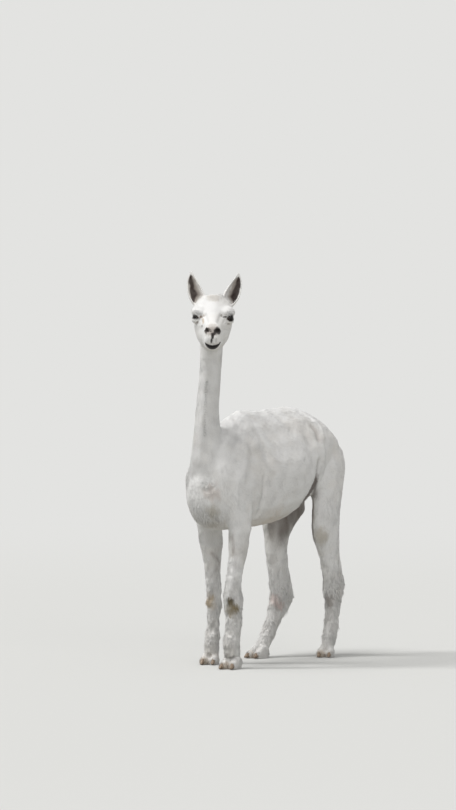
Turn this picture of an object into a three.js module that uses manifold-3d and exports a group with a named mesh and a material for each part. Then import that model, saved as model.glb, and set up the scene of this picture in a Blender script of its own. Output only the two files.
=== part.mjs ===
// A shorn huacaya alpaca, standing still, at life size.
// Millimetres, +Z up, the ground at Z = 0. The trunk lies along Y with the chest towards -Y, so its left side is +X.
// The origin is on the ground, under the middle of the whole animal.
import * as THREE from 'three';
import { mergeVertices } from 'three/addons/utils/BufferGeometryUtils.js';
import Module from 'manifold-3d';

const wasm = await Module();
wasm.setup();

const cutGap = 0.4; // width of the thin cuts between neighbouring pieces
const trunkSegments = 20;
const neckSegments = 14;
const legSegments = 12;
const headSegments = 18;
const legStep = 42; // height between two rings of a leg
const neckStep = 38;
const origin = [-8, 32, 0]; // moves the middle of the whole animal over the origin

const headTurn = 33; // degrees from straight ahead towards its left
const headPitch = 2; // degrees, nose down
const headRoll = 1; // degrees, its left ear down
const eyeLine = [50, -377, 1190]; // the middle of the skull at eye height; the eyes lie a little ahead of it
const eyeRadius = 17;
const eyeAt = { out: 52, forward: 38 }; // from the middle of the head, at eye height

const fleece = new THREE.MeshStandardMaterial({ color: 0xe9e4da, roughness: 0.95, metalness: 0 });
const longFleece = new THREE.MeshStandardMaterial({ color: 0xe4ddcf, roughness: 0.95, metalness: 0 });
const eyeGloss = new THREE.MeshStandardMaterial({ color: 0x120d0a, roughness: 0.08, metalness: 0 });
const horn = new THREE.MeshStandardMaterial({ color: 0x4b4138, roughness: 0.5, metalness: 0 });

// ---- Shapes ----

// Closes a stack of rings, each a list of points the same way round, into one mesh.
function skinOf(rings) {
  const around = rings[0].length;
  const points = rings.flat();
  const middleOf = (ring) =>
    ring.reduce((sum, p) => sum.add(p), new THREE.Vector3()).divideScalar(around);
  const start = points.push(middleOf(rings[0])) - 1;
  const end = points.push(middleOf(rings.at(-1))) - 1;
  const faces = [];
  for (let j = 0; j < around; j++) {
    const k = (j + 1) % around;
    const last = (rings.length - 1) * around;
    faces.push(start, k, j, end, last + j, last + k);
    for (let i = 0; i + 1 < rings.length; i++) {
      const [a, b, c, d] = [i * around + j, i * around + k, (i + 1) * around + k, (i + 1) * around + j];
      faces.push(a, b, c, a, c, d);
    }
  }
  const geometry = new THREE.BufferGeometry().setFromPoints(points);
  geometry.setIndex(faces);
  return geometry;
}

// A geometry as a manifold solid, turned right side out where its rings ran the other way.
function solidOf(geometry, matrix = new THREE.Matrix4()) {
  const bare = geometry.clone().applyMatrix4(matrix);
  bare.deleteAttribute('normal');
  bare.deleteAttribute('uv');
  const merged = mergeVertices(bare, 1e-3);
  const vertProperties = merged.attributes.position.array;
  const triVerts = new Uint32Array(merged.index.array).filter((v, i, all) => {
    const t = i - (i % 3);
    return all[t] !== all[t + 1] && all[t + 1] !== all[t + 2] && all[t] !== all[t + 2];
  });
  const make = () => new wasm.Manifold(new wasm.Mesh({ numProp: 3, vertProperties, triVerts }));
  const solid = make();
  if (solid.volume() > 0) return solid;
  for (let i = 0; i < triVerts.length; i += 3) {
    [triVerts[i + 1], triVerts[i + 2]] = [triVerts[i + 2], triVerts[i + 1]];
  }
  return make();
}

// Smooth values between sections: the first key of each says where it stands along the form.
function profileOf(sections) {
  const [place, ...rest] = Object.keys(sections[0]);
  const where = sections.map((s) => s[place]);
  const values = sections.flatMap((s) => rest.map((k) => s[k]));
  const curve = new THREE.CubicInterpolant(where, values, rest.length);
  return (t) => {
    const found = [...curve.evaluate(t)];
    return Object.fromEntries([[place, t], ...rest.map((k, i) => [k, found[i]])]);
  };
}

// The sections' own places with more between them.
const betweenOf = (places, count) =>
  places.flatMap((p, i) =>
    i + 1 === places.length
      ? [p]
      : Array.from({ length: count }, (_, n) => p + ((places[i + 1] - p) * n) / count),
  );

// Even places about a step apart, from the first section to the last.
function evenOf(places, step) {
  const length = places.at(-1) - places[0];
  const count = Math.round(length / step);
  return Array.from({ length: count + 1 }, (_, n) => places[0] + (length * n) / count);
}

const rounded = (value, power) => Math.sign(value) * Math.abs(value) ** (2 / power);

// Upright sections facing along Y, as a trunk or a head has: each has a top, a bottom and a widest level.
// A low peak slopes the sides in towards the top, as ribs do below the spine.
function lyingForm(sections, segments, between) {
  const at = profileOf(sections);
  const rings = betweenOf(sections.map((s) => s.y), between).map((y) => {
    const s = at(y);
    const level = s.bottom + (s.top - s.bottom) * s.widest;
    return Array.from({ length: segments }, (_, j) => {
      const a = (j / segments) * 2 * Math.PI;
      const [c, n] = [Math.cos(a), Math.sin(a)];
      const [reach, power] = n > 0 ? [s.top - level, s.peak ?? s.full] : [level - s.bottom, s.full];
      return new THREE.Vector3(s.half * rounded(c, power), y, level + reach * rounded(n, power));
    });
  });
  return skinOf(rings);
}

// Level sections stacked along Z, as a leg or a neck has: a middle, a half width and a half depth.
function standingForm(sections, segments, step) {
  const at = profileOf(sections);
  const rings = evenOf(sections.map((s) => s.z), step).map((z) => {
    const s = at(z);
    return Array.from({ length: segments }, (_, j) => {
      const a = ((j + 0.5) / segments) * 2 * Math.PI;
      return new THREE.Vector3(s.x + s.side * Math.cos(a), s.y + s.deep * Math.sin(a), z);
    });
  });
  return skinOf(rings);
}

function ball(radii, at, segments = 12) {
  const geometry = new THREE.SphereGeometry(1, segments, Math.round(segments * 0.6));
  return geometry.scale(...radii).translate(...at);
}

const joined = (...solids) => solids.reduce((all, one) => all.add(one));
const opposite = (normal) => normal.map((v) => -v);

// The share of a solid on the side that the normal points to, kept half a cut away from the plane.
function cutAt(solid, { normal, point }) {
  const n = new THREE.Vector3(...normal).normalize();
  return solid.trimByPlane(n.toArray(), n.dot(new THREE.Vector3(...point)) + cutGap / 2);
}
const cutBehind = (solid, { normal, point }) => cutAt(solid, { normal: opposite(normal), point });

// A place with a turn about the upright, then a pitch about X, then a roll about Y, in degrees.
function turned(x, y, z, turn = 0, pitch = 0, roll = 0) {
  const [c, a, b] = [turn, pitch, roll].map(THREE.MathUtils.degToRad);
  const spin = new THREE.Matrix4().makeRotationFromEuler(new THREE.Euler(a, b, c, 'ZXY'));
  return new THREE.Matrix4().makeTranslation(x, y, z).multiply(spin);
}

// ---- Trunk ----

const trunkSections = [
  { y: -387, top: 642, bottom: 594, half: 9, widest: 0.5, full: 2, peak: 2 }, // point of the chest
  { y: -382, top: 674, bottom: 562, half: 30, widest: 0.48, full: 2, peak: 2 },
  { y: -366, top: 712, bottom: 524, half: 62, widest: 0.44, full: 2, peak: 2 },
  { y: -335, top: 760, bottom: 484, half: 90, widest: 0.41, full: 2.1, peak: 2.05 },
  { y: -290, top: 803, bottom: 465, half: 106, widest: 0.41, full: 2.1, peak: 2 }, // shoulders
  { y: -230, top: 835, bottom: 463, half: 113, widest: 0.43, full: 2.1, peak: 1.85 },
  { y: -150, top: 871, bottom: 464, half: 120, widest: 0.44, full: 2.1, peak: 1.62 }, // withers
  { y: -50, top: 868, bottom: 467, half: 129, widest: 0.45, full: 2.1, peak: 1.5 },
  { y: 50, top: 871, bottom: 477, half: 135, widest: 0.47, full: 2.1, peak: 1.5 }, // last ribs
  { y: 140, top: 878, bottom: 503, half: 133, widest: 0.49, full: 2.1, peak: 1.55 },
  { y: 220, top: 871, bottom: 550, half: 122, widest: 0.52, full: 2.15, peak: 1.75 }, // flank
  { y: 290, top: 849, bottom: 618, half: 111, widest: 0.54, full: 2.15, peak: 1.85 }, // hips
  { y: 350, top: 808, bottom: 636, half: 94, widest: 0.54, full: 2.05, peak: 2.25 },
  { y: 395, top: 771, bottom: 643, half: 74, widest: 0.52, full: 2.1, peak: 2.4 }, // pin bones
  { y: 422, top: 740, bottom: 664, half: 45, widest: 0.5, full: 2, peak: 2 },
  { y: 432, top: 722, bottom: 690, half: 16, widest: 0.5, full: 2, peak: 2 },
];

// ---- Neck ----

const neckSections = [
  { z: 560, x: 0, y: -262, side: 86, deep: 92 },
  { z: 620, x: 0, y: -281, side: 86, deep: 98 },
  { z: 660, x: -2, y: -292, side: 79, deep: 96 },
  { z: 704, x: -5, y: -308, side: 62, deep: 88 },
  { z: 770, x: -5, y: -322, side: 46, deep: 74 },
  { z: 837, x: -4, y: -332, side: 38, deep: 57 },
  { z: 904, x: 0, y: -332, side: 35, deep: 51 },
  { z: 970, x: 6, y: -331, side: 34, deep: 48 },
  { z: 1040, x: 12, y: -332, side: 34, deep: 48 },
  { z: 1100, x: 16, y: -334, side: 37, deep: 49 },
  { z: 1150, x: 16, y: -331, side: 40, deep: 48 },
  { z: 1190, x: 12, y: -324, side: 34, deep: 36 },
  { z: 1222, x: 8, y: -318, side: 12, deep: 12 },
];

// ---- Legs: each runs from above its foot up into the trunk ----

const leftForeleg = [
  { z: 50, x: 82, y: -306, side: 26, deep: 32 },
  { z: 81, x: 82, y: -312, side: 28, deep: 38 }, // fetlock
  { z: 108, x: 82, y: -309, side: 26, deep: 35 },
  { z: 148, x: 82, y: -302, side: 25, deep: 32 }, // cannon
  { z: 199, x: 83, y: -299, side: 28, deep: 40 },
  { z: 243, x: 83, y: -304, side: 29, deep: 45 }, // knee
  { z: 284, x: 83, y: -302, side: 26, deep: 38 },
  { z: 334, x: 83, y: -290, side: 27, deep: 37 }, // forearm
  { z: 374, x: 83, y: -275, side: 29, deep: 40 },
  { z: 418, x: 83, y: -269, side: 32, deep: 48 },
  { z: 465, x: 83, y: -264, side: 33, deep: 52 }, // elbow
  { z: 530, x: 81, y: -262, side: 35, deep: 62 },
  { z: 600, x: 80, y: -262, side: 36, deep: 70 }, // upper arm
  { z: 680, x: 76, y: -246, side: 34, deep: 64 }, // shoulder blade
  { z: 760, x: 62, y: -226, side: 24, deep: 42 },
];

const rightForeleg = [
  { z: 40, x: -83, y: -184, side: 25, deep: 30 },
  { z: 66, x: -83, y: -187, side: 26, deep: 32 }, // fetlock
  { z: 93, x: -83, y: -178, side: 22, deep: 26 },
  { z: 133, x: -83, y: -170, side: 21, deep: 22 }, // cannon
  { z: 178, x: -83, y: -168, side: 23, deep: 25 },
  { z: 219, x: -83, y: -169, side: 26, deep: 30 }, // knee
  { z: 271, x: -83, y: -172, side: 25, deep: 33 },
  { z: 323, x: -83, y: -175, side: 27, deep: 36 }, // forearm
  { z: 374, x: -83, y: -180, side: 30, deep: 48 },
  { z: 426, x: -83, y: -186, side: 34, deep: 60 },
  { z: 470, x: -83, y: -194, side: 34, deep: 64 }, // elbow
  { z: 530, x: -81, y: -214, side: 35, deep: 68 },
  { z: 600, x: -80, y: -240, side: 36, deep: 72 }, // upper arm
  { z: 680, x: -76, y: -242, side: 34, deep: 64 }, // shoulder blade
  { z: 760, x: -62, y: -226, side: 24, deep: 42 },
];

const leftHindLeg = [
  { z: 36, x: 86, y: 300, side: 23, deep: 26 },
  { z: 62, x: 86, y: 306, side: 25, deep: 29 }, // fetlock
  { z: 109, x: 86, y: 325, side: 23, deep: 29 },
  { z: 162, x: 86, y: 331, side: 24, deep: 28 }, // cannon
  { z: 197, x: 86, y: 334, side: 26, deep: 37 },
  { z: 224, x: 86, y: 339, side: 28, deep: 49 },
  { z: 249, x: 86, y: 341, side: 29, deep: 57 }, // hock
  { z: 295, x: 86, y: 330, side: 31, deep: 52 },
  { z: 338, x: 86, y: 317, side: 32, deep: 51 }, // gaskin
  { z: 373, x: 86, y: 304, side: 35, deep: 56 },
  { z: 409, x: 86, y: 292, side: 38, deep: 67 },
  { z: 444, x: 86, y: 285, side: 40, deep: 74 },
  { z: 497, x: 86, y: 289, side: 42, deep: 73 }, // stifle
  { z: 549, x: 84, y: 297, side: 43, deep: 74 },
  { z: 612, x: 79, y: 310, side: 46, deep: 85 }, // thigh
  { z: 670, x: 69, y: 326, side: 48, deep: 97 },
  { z: 735, x: 53, y: 330, side: 44, deep: 84 },
  { z: 770, x: 42, y: 316, side: 36, deep: 56 },
  { z: 806, x: 32, y: 296, side: 24, deep: 30 },
];

const rightHindLeg = [
  { z: 30, x: -85, y: 140, side: 24, deep: 32 },
  { z: 50, x: -85, y: 155, side: 25, deep: 38 }, // fetlock
  { z: 77, x: -84, y: 175, side: 24, deep: 33 },
  { z: 111, x: -83, y: 198, side: 24, deep: 35 },
  { z: 144, x: -83, y: 227, side: 26, deep: 44 }, // cannon
  { z: 178, x: -83, y: 247, side: 27, deep: 52 },
  { z: 212, x: -83, y: 266, side: 29, deep: 66 }, // hock
  { z: 265, x: -83, y: 254, side: 29, deep: 58 },
  { z: 319, x: -83, y: 241, side: 31, deep: 56 },
  { z: 372, x: -83, y: 231, side: 34, deep: 57 }, // gaskin
  { z: 424, x: -83, y: 234, side: 38, deep: 66 },
  { z: 462, x: -84, y: 252, side: 41, deep: 97 },
  { z: 500, x: -84, y: 290, side: 42, deep: 119 }, // stifle
  { z: 549, x: -83, y: 298, side: 43, deep: 108 },
  { z: 612, x: -79, y: 308, side: 46, deep: 96 }, // thigh
  { z: 670, x: -69, y: 326, side: 48, deep: 97 },
  { z: 735, x: -53, y: 330, side: 44, deep: 84 },
  { z: 770, x: -42, y: 316, side: 36, deep: 56 },
  { z: 806, x: -32, y: 296, side: 24, deep: 30 },
];

// ---- Feet: two toes on one flat, each with its own nail ----

const limbs = {
  left_fore: { sections: leftForeleg, x: 82, y: -309, turn: 10, size: 0.96 },
  right_fore: { sections: rightForeleg, x: -83, y: -190, turn: 20, size: 0.92 },
  left_hind: { sections: leftHindLeg, x: 86, y: 292, turn: 20, size: 0.88 },
  right_hind: { sections: rightHindLeg, x: -86, y: 126, turn: -4, size: 0.94 },
};
const ankleHeight = 52; // the cut between a leg and its foot
const nailBase = 42; // where the nail meets the toe, ahead of the foot's middle
const toeSpread = 16; // half the distance between the middles of the two toes

// One toe along -Y. The pad's underside lies below the ground, where it is cut flat.
const toeSections = [
  { y: -50, top: 15, bottom: 4, half: 7, widest: 0.45, full: 2 },
  { y: -40, top: 27, bottom: -4, half: 13, widest: 0.45, full: 2.2 },
  { y: -20, top: 40, bottom: -8, half: 16.5, widest: 0.42, full: 2.3 },
  { y: 4, top: 54, bottom: -8, half: 17.5, widest: 0.4, full: 2.3 },
  { y: 24, top: 52, bottom: -5, half: 16, widest: 0.42, full: 2.2 },
  { y: 36, top: 34, bottom: 6, half: 8, widest: 0.5, full: 2 },
];
const nailSections = [
  { y: -64, top: 8, bottom: 3.5, half: 2.2, widest: 0.4, full: 2 },
  { y: -58, top: 14, bottom: 2.5, half: 5.5, widest: 0.4, full: 2 },
  { y: -50, top: 20, bottom: 2.5, half: 7.5, widest: 0.4, full: 2 },
  { y: -40, top: 25, bottom: 3, half: 8.5, widest: 0.4, full: 2 },
];

const toePlace = (limb, side) =>
  turned(limb.x, limb.y, 0, limb.turn)
    .multiply(new THREE.Matrix4().makeScale(limb.size, limb.size, limb.size))
    .multiply(turned(side * toeSpread, 0, 0, side * 5));

function footSolid(limb) {
  const toes = [-1, 1].map((side) =>
    solidOf(lyingForm(toeSections, 10, 1)).trimByPlane([0, 1, 0], -nailBase).transform(toePlace(limb, side).elements),
  );
  const pastern = solidOf(ball([23, 27, 24], [0, 12, 28], 10), turned(limb.x, limb.y, 0, limb.turn));
  return joined(...toes, pastern).trimByPlane([0, 0, 1], 0);
}

const nailSolid = (limb, side) =>
  solidOf(lyingForm(nailSections, 6, 1))
    .trimByPlane([0, -1, 0], nailBase + cutGap)
    .transform(toePlace(limb, side).elements);

// ---- Head, in its own frame: the nose towards -Y and the eyes at Z = 0 ----

const headSections = [
  { y: -170, top: -42, bottom: -62, half: 9, widest: 0.5, full: 2 },
  { y: -167, top: -29, bottom: -78, half: 20, widest: 0.6, full: 2.3 }, // nose
  { y: -158, top: -20, bottom: -95, half: 28, widest: 0.6, full: 2.5 },
  { y: -145, top: -14, bottom: -103, half: 31, widest: 0.5, full: 2.5 },
  { y: -125, top: -7, bottom: -107, half: 32.5, widest: 0.45, full: 2.3 }, // lips
  { y: -100, top: 5, bottom: -107, half: 34, widest: 0.45, full: 2.2 },
  { y: -74, top: 23, bottom: -108, half: 41, widest: 0.47, full: 2.2 }, // bridge of the nose
  { y: -47, top: 46, bottom: -111, half: 54, widest: 0.55, full: 2.3 },
  { y: -16, top: 68, bottom: -114, half: 66, widest: 0.66, full: 2.2 }, // brow
  { y: 16, top: 79, bottom: -112, half: 69, widest: 0.68, full: 2.2 }, // cheeks
  { y: 46, top: 76, bottom: -98, half: 63, widest: 0.65, full: 2.2 },
  { y: 68, top: 60, bottom: -76, half: 46, widest: 0.6, full: 2.1 },
  { y: 82, top: 34, bottom: -44, half: 24, widest: 0.5, full: 2 },
  { y: 87, top: 14, bottom: -20, half: 9, widest: 0.5, full: 2 }, // poll
];
const browRadii = [36, 42, 25];
const browAt = { out: 41, forward: 18, up: 19 };
const cheekRadii = [25, 40, 36];
const cheekAt = { out: 29, forward: -10, up: -52 };
const lidOpening = { radii: [17, 17, 7], out: 14, forward: 12 }; // the gap between the lids, beyond the eye's middle
const nostril = { radii: [7.5, 10, 6], out: 15.5, forward: 164, up: -35 };
const mouthCut = { normal: [0, 0.16, 1], point: [0, -158, -86] };
const mouthCornerCut = { normal: [0, 1, 0.3], point: [0, -92, -84] };

const headPlace = turned(...eyeLine, headTurn, headPitch, headRoll);

function headSolid() {
  let head = solidOf(lyingForm(headSections, headSegments, 1));
  for (const side of [-1, 1]) {
    const brow = ball(browRadii, [side * browAt.out, -browAt.forward, browAt.up]);
    const cheek = ball(cheekRadii, [side * cheekAt.out, -cheekAt.forward, cheekAt.up]);
    head = joined(head, solidOf(brow), solidOf(cheek));
  }
  for (const side of [-1, 1]) {
    const at = [side * eyeAt.out, -eyeAt.forward, 0];
    const socket = ball(Array(3).fill(eyeRadius + cutGap), at, 14);
    const lids = ball(lidOpening.radii, [
      side * (eyeAt.out + lidOpening.out), -(eyeAt.forward + lidOpening.forward), 0,
    ]);
    const nose = ball(nostril.radii, [side * nostril.out, -nostril.forward, nostril.up], 8);
    head = head.subtract(solidOf(socket)).subtract(solidOf(lids)).subtract(solidOf(nose));
  }
  return head;
}

// An upright leaf cupped forwards: each level is a crescent, deepest at the root and open at the tip.
const ear = { length: 120, wall: 4.5, depth: 0.75, root: [48, 24, 34], turn: 10 };
const earLean = { left: 6, right: 2 }; // degrees outwards
const earSections = [
  { t: 0, width: 19, cup: 150, out: -4, back: 0 },
  { t: 0.14, width: 27, cup: 132, out: 0, back: 1 },
  { t: 0.3, width: 30, cup: 118, out: 7, back: 3 },
  { t: 0.52, width: 26, cup: 105, out: 16, back: 7 },
  { t: 0.74, width: 18, cup: 95, out: 24, back: 12 },
  { t: 0.91, width: 8.5, cup: 85, out: 28, back: 18 },
  { t: 1, width: 2.6, cup: 70, out: 28, back: 21 },
];
const earLevels = [0, 0.12, 0.26, 0.42, 0.58, 0.73, 0.86, 0.95, 1];
const earAcross = 9;

function earSolid(side, lean) {
  const at = profileOf(earSections);
  const rings = earLevels.map((t) => {
    const { width, cup, out, back } = at(t);
    const reach = THREE.MathUtils.degToRad(cup);
    const arc = (radius, from, to) =>
      Array.from({ length: earAcross }, (_, i) => {
        const a = from + ((to - from) * i) / (earAcross - 1);
        return new THREE.Vector3(
          side * out + radius * Math.sin(a), back + radius * Math.cos(a) * ear.depth, t * ear.length,
        );
      });
    return [...arc(width, -reach, reach), ...arc(width - Math.min(ear.wall, width * 0.45), reach, -reach)];
  });
  const [x, y, z] = ear.root;
  return solidOf(skinOf(rings), turned(side * x, y, z, side * ear.turn, 0, side * lean));
}

// ---- Tail ----

const tailSections = [
  { z: 548, x: 0, y: 440, side: 9, deep: 8 },
  { z: 575, x: 0, y: 443, side: 21, deep: 16 },
  { z: 625, x: 0, y: 446, side: 27, deep: 20 },
  { z: 680, x: 0, y: 442, side: 26, deep: 21 },
  { z: 726, x: 0, y: 426, side: 25, deep: 22 },
  { z: 758, x: 0, y: 404, side: 19, deep: 16 },
];

// ---- Build ----

const model = new THREE.Group();
model.position.set(...origin);

function addNode(name, solid, material) {
  const mesh = solid.getMesh();
  const geometry = new THREE.BufferGeometry();
  geometry.setAttribute('position', new THREE.BufferAttribute(new Float32Array(mesh.vertProperties), 3));
  geometry.setIndex(new THREE.BufferAttribute(mesh.triVerts, 1));
  geometry.computeVertexNormals();
  const node = new THREE.Mesh(geometry, material);
  node.name = name;
  model.add(node);
}

const neckCut = { normal: [0, -1.135, 1], point: [0, -282, 755] };
const throatCut = { normal: [0, -0.3, 1], point: [20, -330, 1066] };
const elbowCut = { normal: [0, 0, 1], point: [0, 0, 458] };
const hipCut = { normal: [0, -0.5, 1], point: [0, 140, 498] };

const trunkForm = solidOf(lyingForm(trunkSections, trunkSegments, 2));
const neckForm = solidOf(standingForm(neckSections, neckSegments, neckStep));
const legForms = Object.values(limbs).map(({ sections }) => solidOf(standingForm(sections, legSegments, legStep)));
const flesh = joined(trunkForm, neckForm, ...legForms);

addNode('neck', cutBehind(cutAt(flesh, neckCut), throatCut), fleece);
addNode('trunk', cutAt(cutAt(cutBehind(flesh, neckCut), elbowCut), hipCut), fleece);

const forelegs = cutBehind(flesh, elbowCut).trimByPlane([0, -1, 0], 0);
const hindLegs = cutBehind(flesh, hipCut).trimByPlane([0, 1, 0], 0);
const ankle = { normal: [0, 0, 1], point: [0, 0, ankleHeight] };
for (const [name, limb] of Object.entries(limbs)) {
  const side = Math.sign(limb.x);
  const leg = (limb.y < 0 ? forelegs : hindLegs).trimByPlane([side, 0, 0], 0);
  addNode(`${name}_leg`, cutAt(leg, ankle), longFleece);
  addNode(`${name}_foot`, cutBehind(joined(leg, footSolid(limb)), ankle), longFleece);
  addNode(`${name}_outer_nail`, nailSolid(limb, side), horn);
  addNode(`${name}_inner_nail`, nailSolid(limb, -side), horn);
}

const tail = solidOf(standingForm(tailSections, 10, 35))
  .subtract(trunkForm.translate([0, cutGap, 0]))
  .subtract(trunkForm.translate([0, 0, cutGap]));
addNode('tail', tail, longFleece);

// The jaw lies under the slant of the mouth and ahead of its corner; the head keeps a notch for it.
const headWhole = headSolid();
const inHead = (solid) => solid.transform(headPlace.elements);
const aroundHead = 1.006; // the head grown by the width of a cut
const skull = joined(cutAt(headWhole, mouthCut), cutAt(headWhole, mouthCornerCut));
addNode('lower_jaw', inHead(cutBehind(cutBehind(headWhole, mouthCut), mouthCornerCut)), fleece);
addNode('head', joined(inHead(skull), cutAt(neckForm, throatCut)), fleece);
for (const [name, side] of [['left', 1], ['right', -1]]) {
  addNode(`${name}_ear`, inHead(earSolid(side, earLean[name]).subtract(headWhole.scale(aroundHead))), fleece);
  const eye = ball(Array(3).fill(eyeRadius), [side * eyeAt.out, -eyeAt.forward, 0], 14);
  addNode(`${name}_eye`, inHead(solidOf(eye)), eyeGloss);
}

export default model;
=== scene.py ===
# A freshly shorn alpaca: skin, fleece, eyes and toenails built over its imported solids. Lengths are in metres.
import math

import bmesh
import bpy
import numpy as np
from mathutils import Matrix, Vector
from mathutils.bvhtree import BVHTree


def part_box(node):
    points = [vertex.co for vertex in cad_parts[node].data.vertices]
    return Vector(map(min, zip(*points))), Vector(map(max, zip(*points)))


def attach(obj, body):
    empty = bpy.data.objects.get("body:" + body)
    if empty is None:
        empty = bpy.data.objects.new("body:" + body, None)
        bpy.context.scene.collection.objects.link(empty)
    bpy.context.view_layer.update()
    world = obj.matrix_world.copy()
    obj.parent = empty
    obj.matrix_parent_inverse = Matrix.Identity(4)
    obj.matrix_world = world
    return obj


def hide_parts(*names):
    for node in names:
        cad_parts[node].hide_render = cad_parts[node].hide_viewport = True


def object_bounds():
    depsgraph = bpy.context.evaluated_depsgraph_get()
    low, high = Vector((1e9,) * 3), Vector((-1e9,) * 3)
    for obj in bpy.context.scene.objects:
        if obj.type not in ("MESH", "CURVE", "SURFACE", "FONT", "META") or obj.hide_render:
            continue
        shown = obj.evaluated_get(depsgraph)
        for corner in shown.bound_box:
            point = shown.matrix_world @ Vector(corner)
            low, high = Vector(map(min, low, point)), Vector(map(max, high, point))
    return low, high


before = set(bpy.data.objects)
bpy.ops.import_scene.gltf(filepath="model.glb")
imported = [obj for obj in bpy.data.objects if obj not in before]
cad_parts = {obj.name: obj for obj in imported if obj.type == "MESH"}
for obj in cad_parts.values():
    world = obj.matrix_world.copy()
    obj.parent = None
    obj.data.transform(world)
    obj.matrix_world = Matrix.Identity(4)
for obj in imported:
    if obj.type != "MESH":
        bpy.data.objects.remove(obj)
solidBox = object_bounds()
scene = bpy.context.scene
limbNames = [f"{side}_{end}" for side in ("left", "right") for end in ("fore", "hind")]

# What each part of the body carries: its nodes, the coat's depth over the skin in mm, and its tufts by their
# length and width in mm, their degrees off the skin, and how plainly each one shows.
coatRegions = {
    "trunk": (["trunk"], 2.2, (8.5, 2.4, 12, 0.4)),
    "neck": (["neck"], 2.2, (7.5, 2.0, 13, 0.4)),
    "head": (["head", "lower_jaw"], 1.4, (5.0, 1.6, 12, 0.4)),
    "leftEar": (["left_ear"], 0.3, (5.0, 1.5, 5, 0.5)),
    "rightEar": (["right_ear"], 0.3, (5.0, 1.5, 5, 0.5)),
    "tail": (["tail"], 6.0, (20, 3.2, 16, 0.9)),
    "foreleg": (["left_fore_leg", "right_fore_leg"], 3.2, (9, 2.4, 12, 0.45)),
    "hindLeg": (["left_hind_leg", "right_hind_leg"], 3.2, (9, 2.4, 12, 0.45)),
    "foot": ([f"{limb}_foot" for limb in limbNames], 3.5, (12, 2.8, 14, 0.6)),
}
regionNames = list(coatRegions)
regionNodes, coatDepths, tuftLooks = zip(*coatRegions.values())
fleshNodes = sum(regionNodes, [])


def middleOf(node):
    low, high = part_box(node)
    return (low + high) / 2


def placed(name, data):
    piece = bpy.data.objects.new(name, data)
    scene.collection.objects.link(piece)
    return piece


def meshOf(name, shape):
    mesh = bpy.data.meshes.new(name)
    shape.to_mesh(mesh)
    shape.free()
    return mesh


def readAll(items, name, width, kind=np.float32):  # a row of values for each item
    flat = np.empty(len(items) * width, kind)
    items.foreach_get(name, flat)
    return flat.reshape(-1, width)


def setPoints(mesh, points):
    mesh.vertices.foreach_set("co", points.astype(np.float32).ravel())
    mesh.update()


def setColours(mesh, name, colours):
    rows = np.c_[colours, np.ones(len(colours))].astype(np.float32)
    mesh.attributes.new(name, "FLOAT_COLOR", "POINT").data.foreach_set("color", rows.ravel())


def shadeSmooth(mesh):
    mesh.polygons.foreach_set("use_smooth", np.ones(len(mesh.polygons), bool))


# The head's own frame: +X to its left, -Y along the nose, and the eyes ahead of its middle.
headPose = {"nod": 2, "eyesAhead": 0.038}
leftEyeAt, rightEyeAt = middleOf("left_eye"), middleOf("right_eye")
headLeft = (leftEyeAt - rightEyeAt).normalized()
nod = Matrix.Rotation(math.radians(headPose["nod"]), 3, headLeft)
headBack = nod @ Vector((0, 0, 1)).cross(headLeft).normalized()
headAt = np.array((leftEyeAt + rightEyeAt) / 2 + headBack * headPose["eyesAhead"])
headAxes = np.array([headLeft, headBack, headLeft.cross(headBack)])


def toHead(points):  # millimetres in the head's frame
    return (points - headAt) @ headAxes.T * 1000


def fromHead(places):
    return headAt + np.asarray(places, float) @ headAxes / 1000


def ramp(low, high, value):
    t = np.clip((value - low) / (high - low), 0, 1)
    return t * t * (3 - 2 * t)


def lengths(vectors):
    return np.linalg.norm(vectors, axis=-1)


def unit(vectors):
    return vectors / np.maximum(lengths(vectors)[..., None], 1e-9)


def noise(places, size, seed, waves=9):  # soft, even unevenness, about -1 to 1; size in metres
    rng = np.random.default_rng(seed)
    ways = unit(rng.normal(size=(waves, 3))) * rng.uniform(0.6, 1.7, (waves, 1)) * 3.2 / size
    return np.sin(places @ ways.T + rng.uniform(0, 2 * math.pi, waves)).sum(1) / math.sqrt(waves)


# Skin: one surface, coarse over the body and finer over the head and feet, joined round throat and ankles.
skinBuild = {
    "bodyVoxel": 0.0075, "headVoxel": 0.0024, "footVoxel": 0.0038, "swell": 0.0006, "doubles": 1e-6,
    "throat": 1.047, "ankle": 0.086, "joint": 0.005, "spare": 0.05, "ankleReach": 0.095, "halfway": 0.5,
}


def trimmed(part, above, below, closed=False):
    for height, way in ((above, -1), (below, 1)):
        if height is not None:
            cut = bmesh.ops.bisect_plane(part, geom=part.verts[:] + part.edges[:] + part.faces[:],
                                         plane_co=(0, 0, height), plane_no=(0, 0, way), clear_outer=True)
            if closed:
                rim = [bit for bit in cut["geom_cut"] if isinstance(bit, bmesh.types.BMEdge)]
                bmesh.ops.edgenet_fill(part, edges=rim)


def voxelled(names, voxel, above=None, below=None):
    flesh = bmesh.new()
    for name in names:
        flesh.from_mesh(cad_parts[name].data)
    bmesh.ops.remove_doubles(flesh, verts=flesh.verts, dist=skinBuild["doubles"])
    trimmed(flesh, above, below, closed=True)
    flesh.normal_update()
    for vert in flesh.verts:
        vert.co += vert.normal * skinBuild["swell"]
    piece = placed("flesh", meshOf("flesh", flesh))
    remesh = piece.modifiers.new("remesh", "REMESH")
    remesh.mode, remesh.voxel_size = "VOXEL", voxel
    result = bpy.data.meshes.new_from_object(piece.evaluated_get(bpy.context.evaluated_depsgraph_get()))
    bpy.data.objects.remove(piece)
    return result


def splitFaces(skin):  # leaves no face with more than four corners
    bmesh.ops.triangulate(skin, faces=[face for face in skin.faces if len(face.verts) > 4])


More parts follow.
